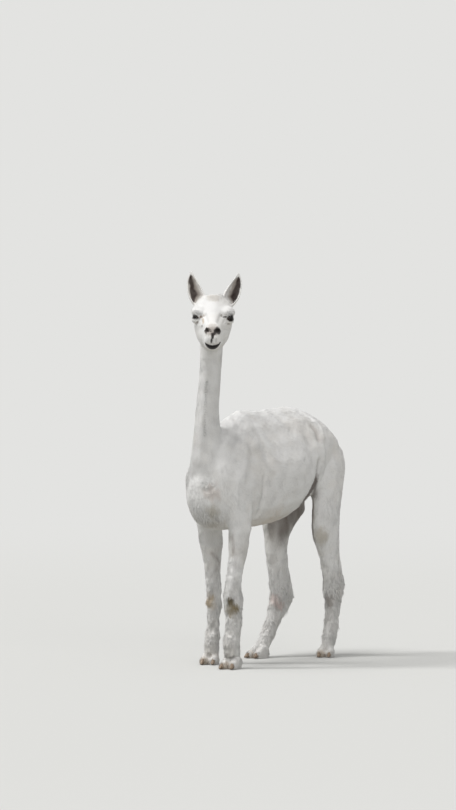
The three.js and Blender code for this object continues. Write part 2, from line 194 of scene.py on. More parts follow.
def bridged(skin, rims, height):  # joins the rim above a height with the one below it, by their angles
    verts = {vert for edge in rims for vert in edge.verts}
    rings = []
    for side in (1, -1):
        ring = [vert for vert in verts if (vert.co.z - height) * side > 0]
        middle = sum((vert.co for vert in ring), Vector()) / len(ring)
        turns = {vert: math.atan2(vert.co.y - middle.y, vert.co.x - middle.x) for vert in ring}
        ring.sort(key=turns.get)
        rings.append([(turns[vert], vert) for vert in ring] + [(turns[ring[0]] + 2 * math.pi, ring[0])])
    high, low = rings
    at = under = 0
    while at < len(high) - 1 or under < len(low) - 1:
        onHigh = under == len(low) - 1 or (at < len(high) - 1 and high[at + 1][0] < low[under + 1][0])
        skin.faces.new((high[at][1], low[under][1], high[at + 1][1] if onHigh else low[under + 1][1]))
        at, under = at + onHigh, under + (not onHigh)


throat, ankle, gap = skinBuild["throat"], skinBuild["ankle"], skinBuild["joint"] / 2
bodyNodes = [name for name in fleshNodes if "_ear" not in name]
legNodes = [f"{limb}_{part}" for limb in limbNames for part in ("leg", "foot")]
headNodes = ["neck", "head", "lower_jaw", "left_ear", "right_ear", "left_eye", "right_eye"]
skin = bmesh.new()
for names, voxel, above, below in (
    (bodyNodes, skinBuild["bodyVoxel"], ankle + gap, throat - gap),
    (headNodes, skinBuild["headVoxel"], throat + gap, None),
    (legNodes, skinBuild["footVoxel"], None, ankle - gap),
):
    part = bmesh.new()
    roomAbove, roomBelow = above and above - skinBuild["spare"], below and below + skinBuild["spare"]
    part.from_mesh(voxelled(names, voxel, roomAbove, roomBelow))
    trimmed(part, above, below)
    skin.from_mesh(meshOf("part", part))
rims = [edge for edge in skin.edges if edge.is_boundary]
bridged(skin, [edge for edge in rims if edge.verts[0].co.z > skinBuild["halfway"]], throat)
for limb in limbNames:
    footAt = middleOf(limb + "_foot")
    bridged(skin, [edge for edge in rims if edge.verts[0].co.z < skinBuild["halfway"]
                   and (edge.verts[0].co - footAt).xy.length < skinBuild["ankleReach"]], ankle)
splitFaces(skin)
bmesh.ops.recalc_face_normals(skin, faces=skin.faces)

# Finer faces where the face has its small forms: a place in the head's frame and how far round it, in mm.
finePlaces = [((52, -46, 2), 27), ((-52, -46, 2), 27), ((0, -158, -52), 44)]
for place, reach in finePlaces:
    centre = Vector(fromHead(place))
    faces = [face for face in skin.faces if (face.calc_center_median() - centre).length < reach / 1000]
    edges = list({edge for face in faces for edge in face.edges})
    bmesh.ops.subdivide_edges(skin, edges=edges, cuts=1, use_grid_fill=True)
splitFaces(skin)
openEdges = sum(not edge.is_manifold for edge in skin.edges)
skinMesh = meshOf("skin", skin)
skinEdges = readAll(skinMesh.edges, "vertices", 2, np.int32)
skinCount = len(skinMesh.vertices)
valence = np.bincount(skinEdges.ravel(), minlength=skinCount)[:, None]
print("skin:", skinCount, "points,", sum(len(face.vertices) - 2 for face in skinMesh.polygons), "triangles,",
      openEdges, "open edges")


def nearbyMean(values):
    total = np.zeros_like(values)
    for here, there in (skinEdges.T, skinEdges.T[::-1]):
        for column in range(values.shape[1]):
            total[:, column] += np.bincount(here, values[there, column], skinCount)
    return total / valence


def relaxed(points, rounds, share=1.0):  # softens facets but keeps the size: a swell follows each shrink
    for turn in range(rounds):
        points = points + (nearbyMean(points) - points) * share * (0.5 if turn % 2 == 0 else -0.52)
    return points


def spread(values, rounds):
    for _ in range(rounds):
        values = (values + nearbyMean(values)) / 2
    return values


def skinNormals(points):
    setPoints(skinMesh, points)
    return readAll(skinMesh.vertex_normals, "vector", 3).astype(float)


solidPoints, solidFaces, solidOwners = [], [], []
for number, nodes in enumerate(regionNodes):
    for mesh in (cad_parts[node].data for node in nodes):
        solidFaces += [[len(solidPoints) + corner for corner in face.vertices] for face in mesh.polygons]
        solidPoints += [vert.co[:] for vert in mesh.vertices]
        solidOwners += [number] * len(mesh.polygons)
solidTree, solidOwners = BVHTree.FromPolygons(solidPoints, solidFaces), np.array(solidOwners)


def standsProud(points):  # how far each point lies outside the solids, and which part it belongs to
    found = [solidTree.find_nearest(point) for point in points]
    away = np.array([(Vector(point) - hit[0]).dot(hit[1]) for point, hit in zip(points.tolist(), found)])
    return away, solidOwners[[hit[2] for hit in found]]


def shareOf(weights, *names):  # how far each point belongs to these parts
    return weights[:, [regionNames.index(name) for name in names]].sum(1, keepdims=True)


smoothing = {"body": 60, "ears": 44, "face": 26, "joints": 80, "jointReach": 0.022, "worn": 0.006}
points = readAll(skinMesh.vertices, "co", 3).astype(float)
weights = np.eye(len(coatRegions))[standsProud(points)[1]]
earShare = spread(shareOf(weights, "leftEar", "rightEar"), 3)
headShare = spread(shareOf(weights, "head"), 4)
faceShare = np.clip(headShare - earShare * 2, 0, 1)
points = relaxed(points, smoothing["body"], 1 - earShare)
points = relaxed(points, smoothing["ears"], earShare)
for _ in range(smoothing["face"]):
    points += (nearbyMean(points) - points) * faceShare * 0.5
joints = sum(np.exp(-(((points[:, 2:] - skinBuild[joint]) / smoothing["jointReach"]) ** 2))
             for joint in ("throat", "ankle"))
points = relaxed(points, smoothing["joints"], np.clip(joints, 0, 1))
# what the smoothing wore off is put back
proud = spread(np.clip(standsProud(points)[0], -smoothing["worn"], smoothing["worn"])[:, None], 30)
points -= skinNormals(points) * proud * (1 - np.clip(earShare * 2, 0, 1))
print("skin smoothed")

# Forms of the body under the coat. A stroke runs along a line of places, mm left, back and up from the middle
# of the trunk; within its radius the skin rises or sinks by the lift. Both sides carry the paired ones.
trunkMiddle = np.array(middleOf("trunk"))
bodyForms = {"paired": [
    ([(50, -245, 148), (77, -236, 105), (95, -260, 50), (106, -300, -10)], 22, 4.5),  # shoulder blade
    ([(58, -150, 160), (75, -140, 130)], 26, -3.5),  # behind the withers
    ([(93, -192, 92), (95, -212, 76)], 20, 3.5),  # rear corner of the blade
    ([(97, -146, 92), (106, -150, 52)], 30, -4.5),  # hollow behind it
    ([(126, -70, 14), (138, -10, 4), (140, 30, -6)], 56, 6),  # ribs
    ([(84, -60, 122), (90, 0, 122)], 56, -5),  # slope above them
    ([(72, -372, 0), (92, -350, -30), (104, -318, -30)], 26, 3),  # point of the shoulder
    ([(112, -250, -60), (110, -262, -140)], 34, 5),  # upper arm
    ([(119, -180, -26), (115, -178, -67), (106, -177, -108), (84, -170, -152)], 12, -8),  # its crease
    ([(84, 84, 134), (110, 66, 84), (128, 46, 30)], 32, 2),  # last rib
    ([(96, 128, 116), (118, 120, 70), (128, 118, 20)], 36, -8),  # hollow of the flank
    ([(75, 206, 158), (92, 218, 137), (109, 211, 103)], 13, 9),  # point of the hip
    ([(88, 174, 142), (102, 182, 121), (112, 178, 92)], 13, -6),  # groove before it
    ([(118, 188, 84), (123, 196, 40), (119, 204, -10), (100, 212, -60)], 17, 8),  # front of the thigh
    ([(124, 166, 20), (122, 158, -18), (114, 152, -46), (106, 138, -78), (94, 118, -106)], 12, -15),
    ([(84, 196, -84), (74, 200, -104)], 26, 9),  # the fold, above, and the web behind it
    ([(118, 280, 0), (112, 290, -80)], 54, 4),  # thigh
    ([(60, 372, 62), (62, 378, 40)], 22, 4),  # pin bone
    ([(84, 330, 40), (92, 350, -60)], 16, -3),  # behind the thigh
    ([(46, -392, -20), (52, -360, -110)], 24, -2.5),  # beside the breastbone
    ([(30, -396, 20), (34, -400, 110), (40, -396, 220)], 15, -2),  # beside the windpipe
] + [
    ([(88, back, 110), (122, back + 26, 30), (116, back + 34, -60)], 8, 0.5)
    for back in (-90, -50, -12, 24)  # the ribs one by one
], "middle": [
    ([(0, -405, -40), (0, -352, -150)], 24, 4),  # breastbone
    ([(2, -410, 30), (10, -402, 150), (20, -396, 330)], 15, 3),  # windpipe
    ([(0, -170, 192), (0, -60, 196)], 20, 2),  # withers
    ([(0, -40, 198), (0, 30, 200)], 26, 3),  # back
    ([(0, 60, 206), (0, 190, 204), (0, 330, 150)], 18, 2),  # spine
    ([(36, -403, -46), (38, -403, -45)], 10, 3),  # left of the breast
    ([(50, -394, -64), (29, -402, -78)], 10, 3),
    ([(44, -398, -56), (22, -404, -60)], 9, -0.8), ([(35, -396, -108), (36, -395, -109)], 11, 2.5),
    ([(66, 342, 90), (78, 326, 90)], 24, 3), ([(-66, 342, 90), (-78, 326, 90)], 24, 3),  # croup
    ([(92, 334, 76), (97, 322, 70)], 24, 4.5), ([(-92, 334, 76), (-97, 322, 70)], 24, 4.5),
    ([(0, 395, 88), (0, 418, 66)], 24, 4),
]}


def strokeAway(places, line):  # how far each place is from a line or a point
    best = np.full(len(places), 1e9)
    for start, end in zip(line, line[1:] or line):
        start, end = np.array(start, float), np.array(end, float)
        along = end - start
        share = np.clip(((places - start) @ along) / max(along @ along, 1e-9), 0, 1)
        best = np.minimum(best, lengths(places - start - share[:, None] * along))
    return best


def strokeLift(places, line, radius, lift):
    return lift * np.exp(-((strokeAway(places, line) / radius) ** 2) * 1.6)


def bothSides(places):  # the right side counted as the left
    return np.abs(places * (1, 0, 0)) + places * (0, 1, 1)


def sculpted(points, places, paired, middle):
    lifts = 0
    for there, forms in ((bothSides(places), paired), (places, middle)):
        for line, radius, lift in forms:
            lifts = lifts + strokeLift(there, line, radius, lift)
    return points + skinNormals(points) * lifts[:, None] / 1000


bodyPlaces = (points - trunkMiddle) * 1000
points = sculpted(points, bodyPlaces, **bodyForms)

# Folds of skin on the upper forelegs, mm from the model's origin.
armFolds = [
    ([(-68, -182, 383), (-62, -160, 369), (-65, -131, 350), (-65, -150, 324)], 8, -2.5),
    ([(75, -283, 454), (83, -283, 420), (78, -281, 389)], 8, -2.5),
]


def shadeAlong(*strokes):
    return sum(strokeLift(bothSides(bodyPlaces), *stroke) for stroke in strokes)


# Shade in the folds of the flank, behind the upper arm, in the folds of the foreleg and before the hip: where
# it lies, in strokes like those above, its colour, and how strongly it covers.
foldShades = [
    (shadeAlong(([(126, 160, 16), (124, 156, -18), (116, 160, -42)], 12, 0.95),
                ([(114, 160, -54), (105, 148, -88), (91, 132, -114), (86, 108, -130)], 14, 1.3),
                ([(108, 170, -64), (92, 186, -82), (78, 196, -102)], 19, 1.1)), "fold", 0.9),
    (shadeAlong(([(119, -186, -26), (115, -184, -67), (106, -182, -108), (84, -174, -152)], 11, 1.0)),
     "between", 0.14),
    (sum(strokeLift(points * 1000, line, radius, 1.0) for line, radius, _ in armFolds), "between", 0.5),
    (shadeAlong(([(88, 174, 142), (102, 182, 121), (112, 178, 92)], 15, 1.0)), "between", 0.45),
]

# The legs: knees, hocks and the sinews beside the bones, mm from the model's origin.
legForms = [
    ([(75, -318, 240)], 22, 3), ([(-91, -168, 216)], 20, 3),  # fronts of the knees
    ([(102, -262, 196), (100, -262, 140)], 9, -2.5), ([(48, -262, 196), (50, -262, 140)], 9, -2.5),
    ([(-66, -132, 176), (-68, -134, 120)], 8, -2.5), ([(-114, -132, 176), (-113, -134, 120)], 8, -2.5),
    ([(100, -206, 474)], 20, 4), ([(-116, -120, 476)], 20, 4),  # elbows
    ([(104, -262, 405)], 30, 2.5), ([(-116, -150, 400)], 30, 2.5),  # forearms
    ([(78, 428, 262)], 16, 4), ([(-91, 352, 218)], 16, 4),  # points of the hocks
    ([(104, 394, 290), (110, 374, 360)], 12, -4.5), ([(52, 394, 290), (46, 374, 360)], 12, -4.5),
    ([(-64, 322, 252), (-58, 300, 325)], 12, -4.5), ([(-118, 322, 252), (-124, 300, 325)], 12, -4.5),
    ([(104, 352, 200), (102, 350, 130)], 8, -2.5), ([(-58, 262, 170), (-58, 232, 110)], 8, -2.5),
]
points = sculpted(points, points * 1000, [], legForms + armFolds)
print("body shaped")

# Locks of the legs: long ridges with hollows between, deeper below the knees and hocks.
lockShape = {"size": 0.017, "stretch": 0.34, "rise": 1.9, "wave": 0.05, "sway": 0.005}
legShare = spread(shareOf(weights, "foreleg", "hindLeg"), 6)[:, 0]
lowShare = legShare * (0.25 + 0.75 * ramp(0.44, 0.30, points[:, 2])) * ramp(0.06, 0.14, points[:, 2])
phase = points[:, [2]] / lockShape["wave"]
waved = points + np.hstack([np.sin(phase * 4), np.cos(phase * 3) * 0.7, phase * 0]) * lockShape["sway"]
locks = noise(waved * (1, 1, lockShape["stretch"]), lockShape["size"], 41, 14)
locks = locks + 0.5 * noise(waved * (1, 1, 0.5), lockShape["size"] * 0.55, 42, 14)
lockHollow = ramp(0.1, -1.3, locks) * lowShare
rise = np.clip(locks, -1.6, 1.4) * lowShare * lockShape["rise"] / 1000
points = points + skinNormals(points) * rise[:, None]

# The skin sinks below the solids by the coat's depth, less near the nails and not at all at the soles.
depths = spread(weights @ np.array(coatDepths)[:, None], 8) / 1000
nailPlaces = np.array([middleOf(node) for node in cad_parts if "nail" in node])
nailGap = lengths(points[:, None, :] * (1, 1, 0.6) - nailPlaces[None] * (1, 1, 0.6)).min(1)
depths *= (0.15 + 0.85 * ramp(0.010, 0.030, nailGap))[:, None]
normals = skinNormals(points)
sole = ramp(0.012, 0.004, points[:, 2]) * ramp(-0.3, -0.8, normals[:, 2])
points -= normals * depths * (1 - sole[:, None])
points = relaxed(points, 8, 1 - np.clip(headShare + earShare, 0, 1))
floorGap = 0.0004
points[:, 2] = np.maximum(points[:, 2], floorGap)

# The face, mm in the head's frame: brows, nose, lips and chin.
headForms = {"paired": [
    ([(10, -166, -62), (17, -156, -72)], 12, 3.4),  # lobe of the upper lip
    ([(8, -168, -26), (18, -164, -22), (28, -156, -30), (29, -150, -40)], 6, 3),  # wing of the nostril
    ([(12, -168, -38), (18, -164, -35), (24, -156, -34)], 7, -5.4),  # nostril
    ([(28, -154, -44), (25, -158, -56)], 6, -2),  # crease beside the lip
    ([(42, -82, -22), (60, -24, -30)], 13, 1.8),  # cheekbone
    ([(52, -62, -34), (40, -100, -36)], 14, -2.6),  # hollow under the eye
    ([(25, -66, 10), (24, -88, -1), (20, -114, -12)], 10, -4),  # side of the bridge
    ([(24, -72, 17), (42, -62, 21), (58, -54, 22), (71, -38, 17)], 9.5, 2.2),  # brow
    ([(43, -58, 4), (34, -69, 5), (25, -70, 15)], 3.6, -2.6),  # wrinkle before the eye
    ([(43, -62, -4), (36, -76, -14)], 4, -1.8),  # tear groove
    ([(34, -118, -88), (30, -100, -100)], 12, 1.6),  # corner of the jaw
    ([(34, 24, 66), (52, 8, 44)], 12, -2.5),  # hollow before the ear
], "middle": [
    ([(-16, -152, -19), (16, -152, -19)], 11, 3),  # top of the nose
    ([(-12, -122, -6), (12, -122, -6)], 12, -2.4),  # dip behind it
    ([(2, -176, -46), (-2, -172, -62), (-2, -164, -83)], 3.4, -5),  # groove of the upper lip
    ([(-25, -152, -79), (-13, -160, -84), (0, -162, -85), (13, -160, -83), (25, -154, -76)], 3.6, -4.6),
    ([(-33, -122, -74), (-25, -152, -79)], 3.4, -3.4),  # the mouth, above, and its corners
    ([(34, -122, -72), (25, -154, -76)], 3.4, -3.4),
    ([(-12, -158, -96), (12, -158, -96)], 7, 1),  # lower lip
    ([(0, -60, 36), (0, -20, 60)], 16, 1.5),  # forehead
    ([(-10, -16, 66), (12, -12, 68)], 27, 7),  # crown
]}
points = sculpted(points, toHead(points), **headForms)

# Eyes and lids: the eye's radius, the way it looks, how far its opening reaches to each side and tilts, in
# degrees, and how far the lids open and the line between them sags.
eyeLook = {
    "radius": 0.0166, "gaze": (14.0, -13, 0), "corners": 62, "tilt": 6, "lidDepth": 0.0016, "sunk": 0.0035,
    "left": {"upper": 45, "lower": 28, "sag": 9}, "right": {"upper": 35, "lower": 6, "sag": 5},
}


def eyeFrame(side):
    sign = 1 if side == "left" else -1
    centre = np.array(leftEyeAt if side == "left" else rightEyeAt)
    gaze = unit(eyeLook["gaze"] * np.array([sign, 1, 1]) @ headAxes)
    across = unit(np.cross(headAxes[2], gaze)) * sign  # towards the rear corner
    upward = unit(np.cross(gaze, across)) * sign
    cos, sin = math.cos(math.radians(eyeLook["tilt"])), math.sin(math.radians(eyeLook["tilt"]))
    return centre, gaze, across * cos + upward * sin, upward * cos - across * sin


lidShade = np.zeros(skinCount)
for side in ("left", "right"):
    centre, gaze, across, upward = eyeFrame(side)
    offset, lids, corner = points - centre, eyeLook[side], eyeLook["corners"]
    reach, ahead, beside, above = lengths(offset), offset @ gaze, offset @ across, offset @ upward
    turn = np.degrees(np.arctan2(beside, ahead))
    rise = np.degrees(np.arctan2(above, np.hypot(ahead, beside)))
    room = np.clip(1 - (turn / corner) ** 2, 0, 1)
    sag = lids["sag"] * turn / corner * room
    upper, lower = lids["upper"] * room ** 0.6 + sag, -lids["lower"] * room ** 0.8 + sag
    opening = np.maximum((rise - upper) / 10, (lower - rise) / 10)  # below 0 between the lids
    opening = np.maximum(opening, (np.abs(turn) - corner) / 10)
    near = ramp(0.036, 0.026, reach) * ramp(-0.004, 0.004, ahead)
    rim = np.exp(-((opening - 0.5) / 0.7) ** 2)
    fold = np.exp(-((rise - upper - 26) / 6) ** 2) * 0.0012
    lidReach = eyeLook["radius"] + eyeLook["lidDepth"] + rim * 0.0006 - fold
    lidReach = lidReach + 0.0028 * ramp(0.6, 3.2, opening)
    wanted = np.maximum(reach, lidReach) - (reach - lidReach).clip(0, 0.006) * np.exp(-(opening / 2.2) ** 2)
    wanted = np.where(opening > 0, wanted, eyeLook["radius"] - eyeLook["sunk"])
    points += unit(offset) * ((wanted - reach) * near)[:, None]
    lidShade = np.maximum(lidShade, near * np.exp(-(np.clip(opening, 0, 9) / 0.75) ** 2))
points = relaxed(points, 4, np.clip(faceShare, 0, 1) * 0.6)
normals = skinNormals(points)
print("face shaped")


def linear(hexColour):
    levels = np.array([int(hexColour[i:i + 2], 16) / 255 for i in (1, 3, 5)])
    return np.where(levels <= 0.04045, levels / 12.92, ((levels + 0.055) / 1.055) ** 2.4)


def inNode(node, left, back, up):  # a place by its share of the node's box
    low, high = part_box(node)
    return np.array([low[i] + (high[i] - low[i]) * share for i, share in enumerate((left, back, up))])


# How far each point is in an ear's hollow, which faces the middle of its level, then its share of the way
# from the inner rim to the outer one, and up the ear.
def earParts(region, levels=14):
    share = shareOf(weights, region)[:, 0] > 0.5
    steps = np.linspace(points[share, 2].min(), points[share, 2].max() + 1e-6, levels + 1)
    level = np.clip(np.digitize(points[:, 2], steps) - 1, 0, levels - 1)
    rings = [share & (level == i) for i in range(levels)]
    toMiddle = unit((np.array([points[ring].mean(0) for ring in rings])[level] - points) * (1, 1, 0))
    out = np.abs(toHead(points)[:, 0])
    inner, outer = (np.array([edge(out[ring]) for ring in rings]) for edge in (np.min, np.max))
    centres = (steps[1:] + steps[:-1]) / 2
    width = np.maximum(np.interp(points[:, 2], centres, outer - inner), 0.004)
    across = (out - np.interp(points[:, 2], centres, inner)) / width
    height = (points[:, 2] - steps[0]) / (steps[-1] - steps[0])
    return share * ramp(-0.05, 0.35, (toMiddle * normals).sum(1)), share * across, share * height


leftEar, rightEar = earParts("leftEar"), earParts("rightEar")
earHollow, earAcross, earHeight = (left + right for left, right in zip(leftEar, rightEar))
earHollow = spread(earHollow[:, None], 2)[:, 0]

# Coat colours, and where they change: a node and a place in its box, or a place in the head's frame in mm;
# then the reach in mm, the colour and how strongly it covers.
coatColours = {
    "fleece": "#F3F2F0", "cream": "#E9E1D5", "earGrey": "#B0A8A1", "earDeep": "#3A2F2C",
    "lips": "#1D1716", "lids": "#231C1A",
    "bodyMarks": [
        ("right_fore_leg", (0.40, 0.28, 0.46), 31, "#A98D60", 0.9),  # grass stains on the knees
        ("right_fore_leg", (0.52, 0.34, 0.40), 32, "#D3BD9A", 0.8),
        ("left_fore_leg", (0.66, 0.06, 0.445), 21, "#564C34", 0.95),
        ("left_fore_leg", (0.82, 0.14, 0.40), 18, "#6E5F40", 0.92),
        ("left_fore_leg", (0.76, 0.10, 0.39), 30, "#A99A79", 0.6),
        ("left_hind_leg", (0.63, 0.45, 0.275), 19, "#9C918A", 0.6),
        ("left_hind_leg", (0.63, 0.46, 0.235), 15, "#928780", 0.6),
        # on the chest a pinkish beige patch, and below it two darker patches that are partly painted shade
        # under its locks
        ("trunk", (0.66, 0.02, 0.33), 34, "#DDD2CA", 0.6), ("trunk", (0.65, 0.03, 0.18), 24, "#C4BCAB", 0.6),
        ("trunk", (0.58, 0.06, 0.10), 26, "#B5AC98", 0.5),
        ("right_hind_leg", (0.58, 0.28, 0.26), 26, "#E6CFC8", 0.6),
        ("right_hind_leg", (0.70, 0.35, 0.23), 20, "#E2C9C1", 0.5),
        # a grey-brown patch on the front of the left stifle, partly painted shade
        ("left_hind_leg", (0.74, 0.09, 0.65), 34, "#C2B8A6", 0.6),
        ("trunk", (0.5, 0.45, 0.03), 110, "#DCCFBF", 0.6),
    ] + [(f"{limb}_foot", (0.5, 0.12, 0.2), 24, "#D8C8B4", 0.7) for limb in limbNames],
    # thin hair and painted shade inside the thighs, painted shade over darker skin in the folds of the flanks,
    # and painted shade in creases and the gaps between locks
    "innerSkinAndShade": "#7D7068", "fold": "#5F544D", "between": "#94877F",
    "headMarks": [
        ((2, -22, 65), (30, 26, 14), "#D5CFC6", 0.65),  # crown
        ((-33, -80, -8), (4.5, 16, 13), "#CBB598", 0.7),
        ((-1, -166, -37), (31, 26, 19), "#B3AAA3", 0.85),  # bare skin of the nose
        ((-2, -160, -17), (24, 18, 8), "#DAD5CF", 0.85),
        # the nostrils: the left one's dark reaches wider, partly painted shade under the wing of the nostril
        ((16, -158, -38), (15, 22, 14.5), "#2B2321", 0.98),  # nostrils
        ((-21, -160, -36), (10.5, 20, 11), "#3A302C", 0.98),
        ((-9, -170, -39), (6, 14, 4), "#5B514C", 0.8), ((3, -172, -47), (10, 16, 6), "#3B3334", 0.92),
        ((0, -174, -56), (5.2, 18, 12), "#2A2322", 0.95),  # groove of the lip
        ((-3, -172, -72), (4.4, 18, 13), "#2A2322", 0.95), ((12, -168, -68), (4, 14, 9), "#A5A09D", 0.35),
        # dark lines before the eyes: tear stains, partly painted shade in the wrinkle there
        ((39, -64, 5), (9, 12, 3.2), "#4E443D", 0.85), ((44, -58, 5), (6, 10, 3), "#3B322D", 0.9),
        ((29, -70, 10), (5.5, 12, 6), "#837A73", 0.7),  # tear lines
        ((-40, -61, 4), (7.5, 13, 5), "#8A715C", 0.8), ((-31, -68, 8), (4, 12, 5), "#B7A48F", 0.5),
        ((-52, -50, -14), (4.5, 10, 4.5), "#857B74", 0.75), ((-37, -81, -26), (3.6, 9, 5.5), "#6B6059", 0.85),
        ((51, -52, -19), (7, 12, 4.5), "#A0978F", 0.6),
    ],
}


def painted(colours, colour, cover):
    return colours * (1 - cover[:, None]) + linear(coatColours.get(colour, colour)) * cover[:, None]


def sideOf(places):
    return np.sign(places[:, 0] - trunkMiddle[0])


# The colours of the tufts, then those of the skin, which has the bare parts too.
onHead = toHead(points)
headX, headY, headZ = onHead.T
patches = ramp(-0.2, 1.8, noise(points, 0.11, 3) + 0.5 * noise(points, 0.035, 4))
low = ramp(0.35, 0.05, points[:, 2]) * 0.12
under = ramp(-0.35, -0.9, normals[:, 2]) * 0.4
tints = np.tile(linear(coatColours["fleece"]), (skinCount, 1))
tints = painted(tints, "cream", np.clip(patches * 0.22 + low + under, 0, 1))
ragged = noise(points, 0.016, 5) * 0.16 + noise(points, 0.006, 6) * 0.1
for node, place, reach, colour, strength in coatColours["bodyMarks"]:
    away = lengths(points - inNode(node, *place)) * 1000 / reach
    tints = painted(tints, colour, strength * ramp(1.15, 0.35, away + ragged))
# the inner sides of the thighs, painted shade over thin hair, then painted shade in the folds where they meet
# the flanks
inward = ramp(0.1, 0.6, -normals[:, 0] * sideOf(points))
thigh = ramp(0.36, 0.44, points[:, 2] + 0.012 * ragged) * ramp(0.10, 0.16, points[:, 1])
aside = np.abs(points[:, 0] - trunkMiddle[0])
thigh *= ramp(0.62, 0.54, points[:, 2]) * ramp(0.125, 0.105, aside)
streaks = noise(points * (1, 1, 0.3), 0.016, 21) * 0.5 + noise(points * (1, 1, 0.4), 0.04, 22)
fading = ramp(0.34, 0.46, points[:, 2] + 0.02 * ragged + 0.012 * streaks) * (0.8 + 0.12 * streaks)
for depth, colour, cover in [(inward * thigh * fading, "innerSkinAndShade", 0.9), *foldShades]:
    tints = painted(tints, colour, np.clip(depth, 0, 1) * cover)
# painted shade in the hollows between the locks of the legs
tints = painted(tints, "between", lockHollow * 0.10)
ragged = noise(points, 0.006, 8) * 0.12
for place, reach, colour, strength in coatColours["headMarks"]:
    tints = painted(tints, colour, strength * ramp(1.1, 0.6, lengths((onHead - place) / reach) + ragged))
# the lower lip: a dark crescent under the line of the mouth, narrower towards its corners
share = np.clip(1 - (headX / 27) ** 2, 0, 1)
lipLine = -76 - 9.5 * share
lipFoot = lipLine - 16 * share ** 0.7 * ramp(-114, -152, headY)
lip = ramp(1.0, -1.0, headZ - lipLine) * ramp(-1.6, 1.2, headZ - lipFoot) * (share > 0)
lip *= ramp(-118, -130, headY)
for side in (-1, 1):
    corner = strokeAway(onHead, [(side * 24, -152, -78), (side * 33, -124, -73)])
    lip = np.maximum(lip, ramp(2.6, 1.2, corner))
tints = painted(tints, "lips", lip)
# the hollow of an ear: pale at both rims, grey near the inner one and darkest near the outer one
uneven = earAcross + 0.03 * noise(points, 0.012, 9)
grey = ramp(0.14, 0.40, uneven) * ramp(0.94, 0.80, uneven)
rimAt = 0.84 + 0.09 * (leftEar[1] > 0) * ramp(0.2, 0.5, earHeight)
deep = ramp(0.38, 0.56, uneven) * ramp(0.03, -0.07, uneven - rimAt)
deep = deep * ramp(0.97, 0.86, earHeight) * (0.93 + 0.05 * noise(points, 0.012, 19))
inside = ramp(0.45, 0.95, earHollow)
skinTints = tints
for colour, cover in (("earGrey", inside * grey), ("earDeep", inside * deep), ("lids", lidShade * 0.9)):
    skinTints = painted(skinTints, colour, cover)


def patchOn(places, middle, reach):  # 1 in the middle of an oval patch, fading outwards
    return np.exp(-((((places - middle) / reach) ** 2).sum(1)))


# How the hair lies: backwards over the trunk, down the neck and legs, up the ears, back over the face.
zeros, ones = np.zeros(skinCount), np.ones(skinCount)
upFace = np.c_[zeros, ones, 0.25 + 0.5 * ramp(-110, -20, headY)]
upFace[:, 2] -= 1.1 * ramp(0.35, 0.9, np.abs(normals @ headAxes[0])) * ramp(-120, -60, headY)
brow = patchOn(bothSides(onHead), (54, -52, 22), (18, 20, 8))
hanging = np.clip(brow * 1.8, 0, 1)[:, None]
upFace = upFace * (1 - hanging) + np.array([0, -0.4, -1.0]) * hanging  # the brows hang over the eyes
front, rear, flank = ramp(0.3, 0.9, np.array([-normals[:, 1], normals[:, 1], np.abs(normals[:, 0])]))
lieWays = {
    "trunk": np.c_[zeros, 1 - 0.8 * front - 0.6 * rear, -0.15 - 0.45 * flank - front - rear],
    "neck": (0, 0.12, -1.0), "head": upFace @ headAxes,
    "leftEar": (0.2, 0.1, 1) @ headAxes, "rightEar": (-0.2, 0.1, 1) @ headAxes, "tail": (0, 0.25, -1.0),
    "foreleg": (0, 0.12, -1.0), "hindLeg": (0, 0.2, -1.0), "foot": (0, -0.45, -1.0),
}
softWeights = spread(weights, 10)
lie = sum(softWeights[:, [i]] * lieWays[name] for i, name in enumerate(regionNames))
lie = unit(spread(lie - normals * (lie * normals).sum(1, keepdims=True), 6))
print("coat laid")

setColours(skinMesh, "coatColour", skinTints)
shadeSmooth(skinMesh)
setPoints(skinMesh, points)
skinPiece = placed("skin", skinMesh)

# Tufts: thin closed blades of three sides, with a root ring, a middle ring and a tip.
skinMesh.calc_loop_triangles()
corners = readAll(skinMesh.loop_triangles, "vertices", 3, np.int32)
spans = points[corners]
triangleAreas = lengths(np.cross(spans[:, 1] - spans[:, 0], spans[:, 2] - spans[:, 0])) / 2

# Longer and rougher tufts: what is added to their length, width, lift and plainness.
tuftExtras = {"shank": (9.0, 1.4, 4, 0.2), "brow": (5.0, 0.3, 4, 0.2)}
shape = softWeights @ np.array(tuftLooks, float)
shank = ramp(0.34, 0.20, points[:, 2])[:, None] * shareOf(softWeights, "foreleg", "hindLeg")
shape += shank * tuftExtras["shank"]  # below the knees and hocks
muzzle = headShare[:, 0] * ramp(-60, -130, headY)
shape *= (1 - 0.45 * muzzle)[:, None] * (1, 1, 0, 0) + (0, 0, 1, 1)
shape += (brow * headShare[:, 0])[:, None] * tuftExtras["brow"]
looseLocks = [  # where the shears left longer hair: the place, the reach in mm, then added length and lift
    (fromHead((27, 0, 76)), 11, 14, 34), (fromHead((4, -4, 76)), 26, 4, 3),
    (inNode("trunk", 0.62, 0.01, 0.41), 22, 9, 14), (inNode("trunk", 0.23, 0.04, 0.44), 20, 9, 14),
    (inNode("trunk", 0.64, 0.05, 0.14), 42, 12, 12), (inNode("trunk", 0.40, 0.05, 0.14), 42, 10, 12),
    (inNode("right_hind_leg", 0.74, 0.37, 0.29), 34, 8, 14),
    (inNode("left_hind_leg", 0.8, 0.6, 0.33), 40, 8, 12),
    (inNode("right_fore_leg", 0.2, 0.3, 0.95), 30, 6, 10),
    (inNode("left_fore_leg", 0.5, 0.1, 0.80), 30, 5, 8),
]
for place, reach, long, lifted in looseLocks:
    near = np.exp(-((lengths(points - place) * 1000 / reach) ** 2))[:, None]
    shape += near * (long, 0.5, lifted, 0.3)

